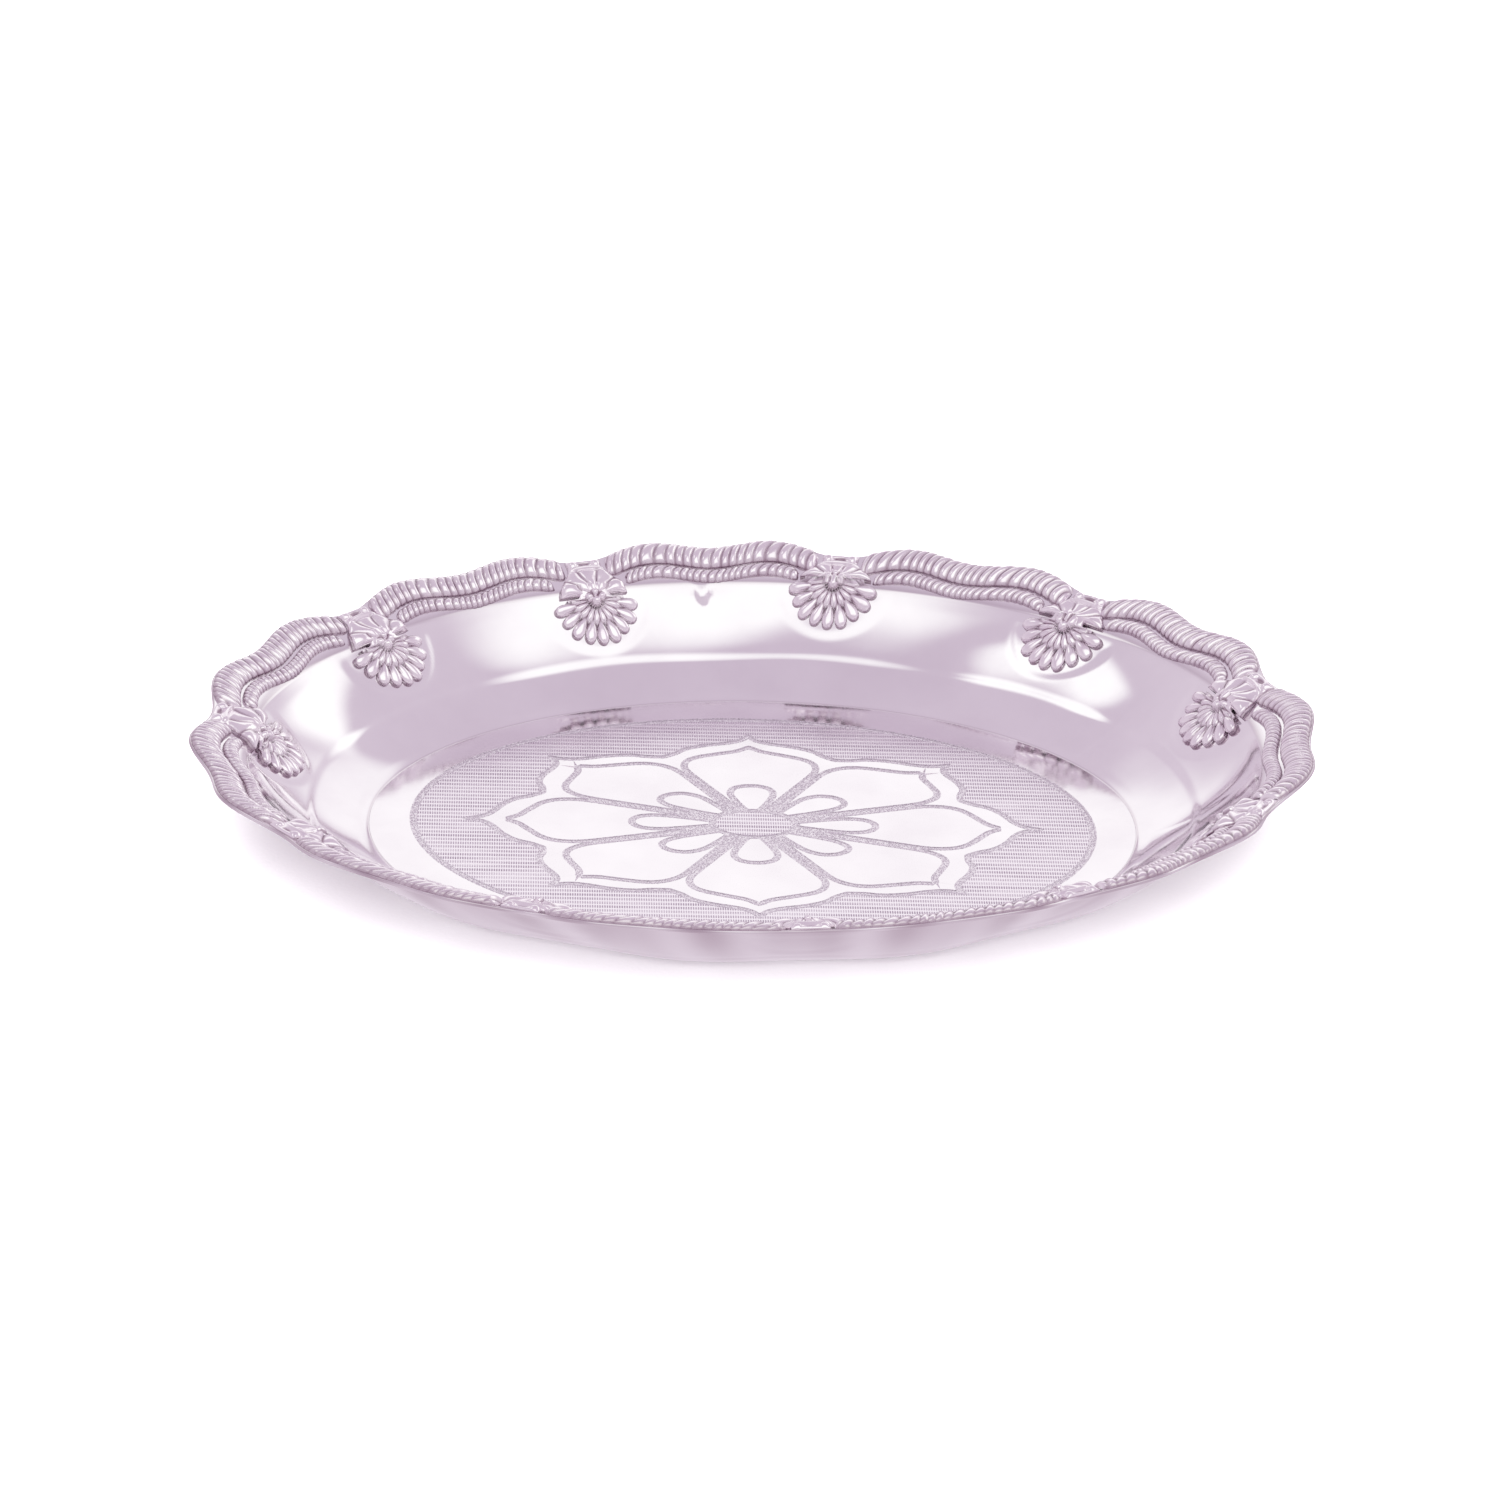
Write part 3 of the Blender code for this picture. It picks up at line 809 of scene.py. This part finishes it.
class Tree:
    """Short calls for building a node tree."""

    def __init__(self, tree):
        self.tree = tree

    def add(self, kind, **settings):
        node = self.tree.nodes.new(kind)
        for key, value in settings.items():
            setattr(node, key, value)
        return node

    def link(self, out, into):
        self.tree.links.new(out, into)

    def ramp(self, value, stops):
        node = self.add("ShaderNodeValToRGB")
        for element, (position, colour) in zip(node.color_ramp.elements, stops):
            element.position = position
            element.color = colour
        self.link(value, node.inputs["Fac"])
        return node.outputs["Color"]

    def span(self, value, low, high, from_low=0.0, from_high=1.0, **settings):
        node = self.add("ShaderNodeMapRange", **settings)
        limits = {"From Min": from_low, "From Max": from_high, "To Min": low, "To Max": high}
        for key, number in limits.items():
            node.inputs[key].default_value = number
        self.link(value, node.inputs["Value"])
        return node.outputs["Result"]

    def math(self, operation, a, b=None):
        node = self.add("ShaderNodeMath", operation=operation)
        for socket, value in zip(node.inputs, (a, b)):
            if isinstance(value, float):
                socket.default_value = value
            elif value is not None:
                self.link(value, socket)
        return node.outputs["Value"]


class Nodes(Tree):
    """A material's node tree, with its main shader."""

    def __init__(self, name):
        self.material = bpy.data.materials.new(name)
        self.material.use_nodes = True
        super().__init__(self.material.node_tree)
        self.shader = self.tree.nodes["Principled BSDF"]

    def place(self, turn=0.0, scale=(1.0, 1.0, 1.0)):
        """Object coordinates, turned about Z and then scaled."""
        coordinates = self.add("ShaderNodeTexCoord")
        turned_place = self.add("ShaderNodeMapping", vector_type="TEXTURE")
        turned_place.inputs["Rotation"].default_value = (0.0, 0.0, turn)
        self.link(coordinates.outputs["Object"], turned_place.inputs["Vector"])
        scaled = self.add("ShaderNodeMapping")
        scaled.inputs["Scale"].default_value = scale
        self.link(turned_place.outputs["Vector"], scaled.inputs["Vector"])
        return scaled.outputs["Vector"]

    def noise(self, vector, scale, detail):
        node = self.add("ShaderNodeTexNoise")
        node.inputs["Scale"].default_value = scale
        node.inputs["Detail"].default_value = detail
        node.inputs["Roughness"].default_value = NOISE_ROUGHNESS
        self.link(vector, node.inputs["Vector"])
        return node.outputs["Fac"]

    def mix(self, share, a, b):
        node = self.add("ShaderNodeMix", data_type="RGBA")
        self.link(share, node.inputs[0])
        for socket, value in ((node.inputs[6], a), (node.inputs[7], b)):
            if isinstance(value, tuple):
                socket.default_value = value
            else:
                self.link(value, socket)
        return node.outputs[2]

    def bump(self, height, distance, normal=None):
        node = self.add("ShaderNodeBump")
        node.inputs["Strength"].default_value = 1.0
        node.inputs["Distance"].default_value = distance
        self.link(height, node.inputs["Height"])
        if normal is not None:
            self.link(normal, node.inputs["Normal"])
        return node.outputs["Normal"]

    def attribute(self, name):
        return self.add("ShaderNodeAttribute", attribute_name=name).outputs["Fac"]


NOISE_ROUGHNESS = 0.55
BRIGHT = (0.965, 0.935, 0.960, 1.0)
CLOUDED = (0.905, 0.865, 0.900, 1.0)
# tarnish of the castings' hollows; the plate's painted shade and the collars' painted dark reflection
# use the same colour
TARNISH_AND_SHADE = (0.44, 0.33, 0.40, 1.0)
PIT = (0.55, 0.48, 0.56, 1.0)
PIT_EDGE = (0.86, 0.81, 0.86, 1.0)
PIT_SPACING = 0.42 * MM
HATCH_GROUND = (0.91, 0.855, 0.91, 1.0)
HATCH_CUT = (0.52, 0.44, 0.53, 1.0)
HATCH_ROW = 2.02 * MM
HATCH_DOT = 0.6 * MM
CAST_CREST = (0.985, 0.945, 0.97, 1.0)
CAST_CLOUDED = (0.90, 0.82, 0.885, 1.0)
PAPER = (0.93, 0.93, 0.93, 1.0)
PAPER_TOOTH = (0.95, 0.95, 0.95, 1.0)
WIPE_TURN = 0.5                # direction of the wipe marks, and how fine they are along X, Y and Z
WIPE_SCALE = (60.0, 1400.0, 900.0)
WEAR_SCALE = (40.0, 260.0, 1.0)
# Noises: how fine in a metre, and their detail
CLOUD_NOISE = (38.0, 4.0)
WAVE_NOISE = (24.0, 1.0)
WIPE_NOISE = (1.0, 2.0)
WEAR_NOISE = (1.0, 3.0)
CAST_NOISE = (210.0, 4.0)
GRAIN_NOISE = (2600.0, 2.0)
PAPER_NOISE = (900.0, 3.0)
# Spans: what they give, low and high, and between which values of the source
CLOUD_SHARE = (0.0, 1.0, 0.35, 0.7)
CLOUD_ROUGH = (0.05, 0.13, 0.3, 0.75)
WIPE_ROUGH = (0.0, 0.05, 0.5, 0.8)
PIT_SHARE = (0.0, 1.0, 0.1, 0.6)
PIT_ROUGH = (0.42, 0.26)
ROW_SHARE = (0.0, 1.0, -0.75, 0.35)
TICK_SHARE = (0.0, 1.0, -0.6, 0.5)
WEAR_SHARE = (0.55, 1.0, 0.35, 0.6)
HATCH_ROUGH = (0.2, 0.45)
CAST_KEPT = (0.7, 1.15, 0.3, 0.7)
CAST_WORN = (0.0, 1.0, 0.4, 0.75)
CAST_ROUGH = (0.08, 0.34)
GRAIN_ROUGH = (0.0, 0.05)
PAPER_STOPS = ((0.3, PAPER), (0.7, PAPER_TOOTH))
PAPER_ROUGH = 0.9
# Heights of the bumps
WIPE_BUMP = 0.0015 * MM
WAVE_BUMP = 0.45 * MM
PIT_BUMP = 0.05 * MM
TICK_BUMP = -0.07 * MM
CAST_BUMP = 0.1 * MM
GRAIN_BUMP = 0.012 * MM
PAPER_BUMP = 0.05 * MM


def silver_base(name):
    """Polished plate: faint clouding, hairline wipe marks and slow waves of the pressed sheet."""
    n = Nodes(name)
    n.shader.inputs["Metallic"].default_value = 1.0
    cloud = n.noise(n.place(), *CLOUD_NOISE)
    wipe = n.noise(n.place(WIPE_TURN, WIPE_SCALE), *WIPE_NOISE)
    wave = n.noise(n.place(), *WAVE_NOISE)
    clear = n.mix(n.span(cloud, *CLOUD_SHARE), BRIGHT, CLOUDED)
    # the tarnish colour mixed in here is painted shade on the plate, in the crease and under the rim
    n.link(n.mix(n.attribute("tarnish_and_shade"), clear, TARNISH_AND_SHADE), n.shader.inputs["Base Color"])
    rough = n.math("ADD", n.span(cloud, *CLOUD_ROUGH), n.span(wipe, *WIPE_ROUGH))
    n.link(rough, n.shader.inputs["Roughness"])
    n.normal = n.bump(wipe, WIPE_BUMP, normal=n.bump(wave, WAVE_BUMP))
    n.link(n.normal, n.shader.inputs["Normal"])
    return n


def plate_silver():
    return silver_base("plate_silver").material


def stippled_silver():
    """Between the two cuts of a line: a field of fine punch marks."""
    n = silver_base("stippled_silver")
    cells = n.add("ShaderNodeTexVoronoi", feature="F1")
    cells.inputs["Scale"].default_value = 1 / PIT_SPACING
    n.link(n.place(), cells.inputs["Vector"])
    pit = n.span(cells.outputs["Distance"], *PIT_SHARE)
    n.link(n.mix(pit, PIT, PIT_EDGE), n.shader.inputs["Base Color"])
    n.link(n.span(pit, *PIT_ROUGH), n.shader.inputs["Roughness"])
    n.link(n.bump(pit, PIT_BUMP, normal=n.normal), n.shader.inputs["Normal"])
    return n.material


def hatched_silver():
    """Ground of the engraving: level rows of close short ticks, with bright metal between rows."""
    n = silver_base("hatched_silver")
    parts = n.add("ShaderNodeSeparateXYZ")
    n.link(n.place(DESIGN_TURN), parts.inputs["Vector"])
    row = n.math("SINE", n.math("MULTIPLY", parts.outputs["Y"], 2 * math.pi / HATCH_ROW))
    tick = n.math("SINE", n.math("MULTIPLY", parts.outputs["X"], 2 * math.pi / HATCH_DOT))
    worn = n.noise(n.place(DESIGN_TURN, WEAR_SCALE), *WEAR_NOISE)
    ticks = n.math("MULTIPLY", n.span(row, *ROW_SHARE), n.span(tick, *TICK_SHARE))
    cut = n.math("MULTIPLY", ticks, n.span(worn, *WEAR_SHARE))
    n.link(n.mix(cut, HATCH_GROUND, HATCH_CUT), n.shader.inputs["Base Color"])
    n.link(n.span(cut, *HATCH_ROUGH), n.shader.inputs["Roughness"])
    n.link(n.bump(cut, TICK_BUMP, normal=n.normal), n.shader.inputs["Normal"])
    return n.material


def border_silver():
    """Cast border: bright worn crests, mauve tarnish kept in the hollows and a painted dark reflection
    in each collar's eye.
    """
    n = Nodes("border_silver")
    n.shader.inputs["Metallic"].default_value = 1.0
    cloud = n.noise(n.place(), *CAST_NOISE)
    grain = n.noise(n.place(), *GRAIN_NOISE)
    kept_tarnish_and_shade = n.math("MULTIPLY", n.attribute("tarnish_and_shade"), n.span(cloud, *CAST_KEPT))
    worn = n.mix(n.span(cloud, *CAST_WORN), CAST_CREST, CAST_CLOUDED)
    n.link(n.mix(kept_tarnish_and_shade, worn, TARNISH_AND_SHADE), n.shader.inputs["Base Color"])
    rough = n.math("ADD", n.span(kept_tarnish_and_shade, *CAST_ROUGH), n.span(grain, *GRAIN_ROUGH))
    n.link(rough, n.shader.inputs["Roughness"])
    slow = n.bump(cloud, CAST_BUMP)
    n.link(n.bump(grain, GRAIN_BUMP, normal=slow), n.shader.inputs["Normal"])
    return n.material


def floor_paper():
    """Seamless white paper, barely toothed."""
    n = Nodes("studio_paper")
    tooth = n.noise(n.place(), *PAPER_NOISE)
    n.link(n.ramp(tooth, PAPER_STOPS), n.shader.inputs["Base Color"])
    n.shader.inputs["Roughness"].default_value = PAPER_ROUGH
    n.link(n.bump(tooth, PAPER_BUMP), n.shader.inputs["Normal"])
    return n.material


# ---------------------------------------------------------------- studio

CAMERA_DISTANCE = 1.6
CAMERA_ELEVATION = math.radians(27.0)
TRAY_YAW = 0.105               # the tray is turned this far counterclockwise before the camera
CAMERA_ROLL = 0.043
LENS = 153.6                   # in mm, on a sensor this wide
SENSOR = 36.0
SHIFT = (-0.0025, 0.0492)
CLIP = (0.05, 50.0)
# Colour of the room below and above, and how bright it is behind the camera
ROOM_LOW = (0.76, 0.68, 0.76, 1.0)
ROOM_HIGH = (0.63, 0.54, 0.64, 1.0)
NEAR_SIDE = 0.95
NEARNESS = (0.45, 0.95)        # cosines off the camera's side between which that sets in
FLOOR_HALF = 4.0
FLOOR_GAP = 0.1 * MM
PLAIN_WHITE = (1.0, 1.0, 1.0)
SOFT_WHITE = (0.83, 1.0, 0.81)  # added to the room's lavender, this comes out white
SOFT_EDGE = 0.35               # share of a panel over which it dims towards each edge
# Name, place (right, ahead, up), width, height and radiance
SOFTBOXES = (("top_softbox", (0.36, -0.85, 1.42), 2.95, 1.6, 0.42),
             ("back_softbox", (-0.05, 1.7, 0.9), 2.6, 1.2, 0.31),
             ("left_softbox", (-0.86, 0.05, 1.45), 0.65, 0.6, 0.42),
             ("right_softbox", (1.28, 0.82, 0.8), 1.7, 0.85, 0.42))
WASHES = (("front_wash", (0.0, -2.4, 1.9), 5.0, 2.6, 7.5),
          ("overhead_wash", (0.0, 0.0, 3.0), 5.0, 5.0, 2.0))


def camera_axes():
    """Camera's right, up and backward directions in the tray's frame, before any roll."""
    c, s = math.cos(TRAY_YAW), math.sin(TRAY_YAW)
    right = Vector((c, -s, 0.0))
    level, down = math.cos(CAMERA_ELEVATION), math.sin(CAMERA_ELEVATION)
    ahead = Vector((s * level, c * level, -down))
    return right, right.cross(ahead), -ahead


def add_camera():
    right, up, back = camera_axes()
    axes = Matrix((right, up, back)).transposed()
    data = bpy.data.cameras.new("camera")
    data.lens = LENS
    data.sensor_width = SENSOR
    data.clip_start, data.clip_end = CLIP
    data.shift_x, data.shift_y = SHIFT
    camera = bpy.data.objects.new("camera", data)
    target = Vector((0.0, 0.0, FLOOR_BOX[0].z + SHEET))
    roll = Matrix.Rotation(CAMERA_ROLL, 4, "Z")
    camera.matrix_world = Matrix.Translation(target + back * CAMERA_DISTANCE) @ axes.to_4x4() @ roll
    bpy.context.scene.collection.objects.link(camera)
    bpy.context.scene.camera = camera


def in_view(right, ahead, up):
    """Point placed as the camera sees the room: to its right, away from it, and up."""
    c, s = math.cos(TRAY_YAW), math.sin(TRAY_YAW)
    return Vector((c * right + s * ahead, -s * right + c * ahead, up))


def add_softbox(name, place, width, height, radiance, colour):
    """A panel that faces the tray, as bright in a mirror as its radiance, dimming to its edges."""
    data = bpy.data.lights.new(name, "AREA")
    data.shape = "RECTANGLE"
    data.size, data.size_y = width, height
    data.energy = 4 * radiance * width * height
    data.color = colour
    data.use_nodes = True
    n = Tree(data.node_tree)
    parts = n.add("ShaderNodeSeparateXYZ")
    n.link(n.add("ShaderNodeNewGeometry").outputs["Parametric"], parts.inputs["Vector"])
    full = SOFT_EDGE * (1 - SOFT_EDGE)
    edges = []
    for axis in "XY":
        across = parts.outputs[axis]
        parabola = n.math("MULTIPLY", across, n.math("SUBTRACT", 1.0, across))
        edges.append(n.span(parabola, 0.0, 1.0, 0.0, full, interpolation_type="SMOOTHSTEP"))
    n.link(n.math("MULTIPLY", *edges), n.tree.nodes["Emission"].inputs["Strength"])
    light = bpy.data.objects.new(name, data)
    light.location = place
    light.rotation_euler = (-place).to_track_quat("-Z", "Y").to_euler()
    bpy.context.scene.collection.objects.link(light)
    return light


def add_world():
    """A soft lavender room, a little dimmer above and on the camera's side."""
    world = bpy.data.worlds.new("room")
    world.use_nodes = True
    n = Tree(world.node_tree)
    background = n.tree.nodes["Background"]
    direction = n.add("ShaderNodeTexCoord").outputs["Generated"]
    parts = n.add("ShaderNodeSeparateXYZ")
    n.link(direction, parts.inputs["Vector"])
    colour = n.ramp(parts.outputs["Z"], [(0.0, ROOM_LOW), (1.0, ROOM_HIGH)])
    n.link(colour, background.inputs["Color"])
    nearness = n.add("ShaderNodeVectorMath", operation="DOT_PRODUCT")
    nearness.inputs[1].default_value = in_view(0.0, -1.0, 0.0)
    n.link(direction, nearness.inputs[0])
    strength = n.span(nearness.outputs["Value"], 1.0, NEAR_SIDE, *NEARNESS,
                      interpolation_type="SMOOTHSTEP")
    n.link(strength, background.inputs["Strength"])
    bpy.context.scene.world = world


def add_floor():
    mesh = bpy.data.meshes.new("studio_floor")
    corners = [(x * FLOOR_HALF, y * FLOOR_HALF, 0.0) for x, y in ((-1, -1), (1, -1), (1, 1), (-1, 1))]
    mesh.from_pydata(corners, [], [(0, 1, 2, 3)])
    mesh.materials.append(floor_paper())
    floor = bpy.data.objects.new("studio_floor", mesh)
    floor.location.z = FLOOR_BOX[0].z - FLOOR_GAP
    bpy.context.scene.collection.objects.link(floor)
    floor.visible_glossy = False   # the tray's flanks mirror the dimmer room, as they would on a stand


def add_room():
    add_world()
    add_floor()
    for name, place, width, height, radiance in SOFTBOXES:
        add_softbox(name, in_view(*place), width, height, radiance, SOFT_WHITE)
    for name, place, width, height, radiance in WASHES:
        wash = add_softbox(name, in_view(*place), width, height, radiance, PLAIN_WHITE)
        wash.visible_glossy = False
    view = bpy.context.scene.view_settings
    view.view_transform = "Standard"
    view.look = "None"
    view.exposure = 0.0
    view.gamma = 1.0


def build_tray():
    build_sheet([plate_silver(), stippled_silver(), hatched_silver()])
    cast = border_silver()
    for k in range(SECTORS):
        number = f"{k + 1:02d}"
        build_rope(f"fine_outer_rope_{number}", f"outer_rope_{number}", k, OUTER_ROPE, cast)
        build_rope(f"fine_inner_rope_{number}", f"inner_rope_{number}", k, INNER_ROPE, cast)
        build_fan(f"fine_shell_{number}", f"shell_mount_{number}", k, cast)
        build_collar(f"notch_collar_{number}", k, cast)


build_tray()
add_room()
add_camera()
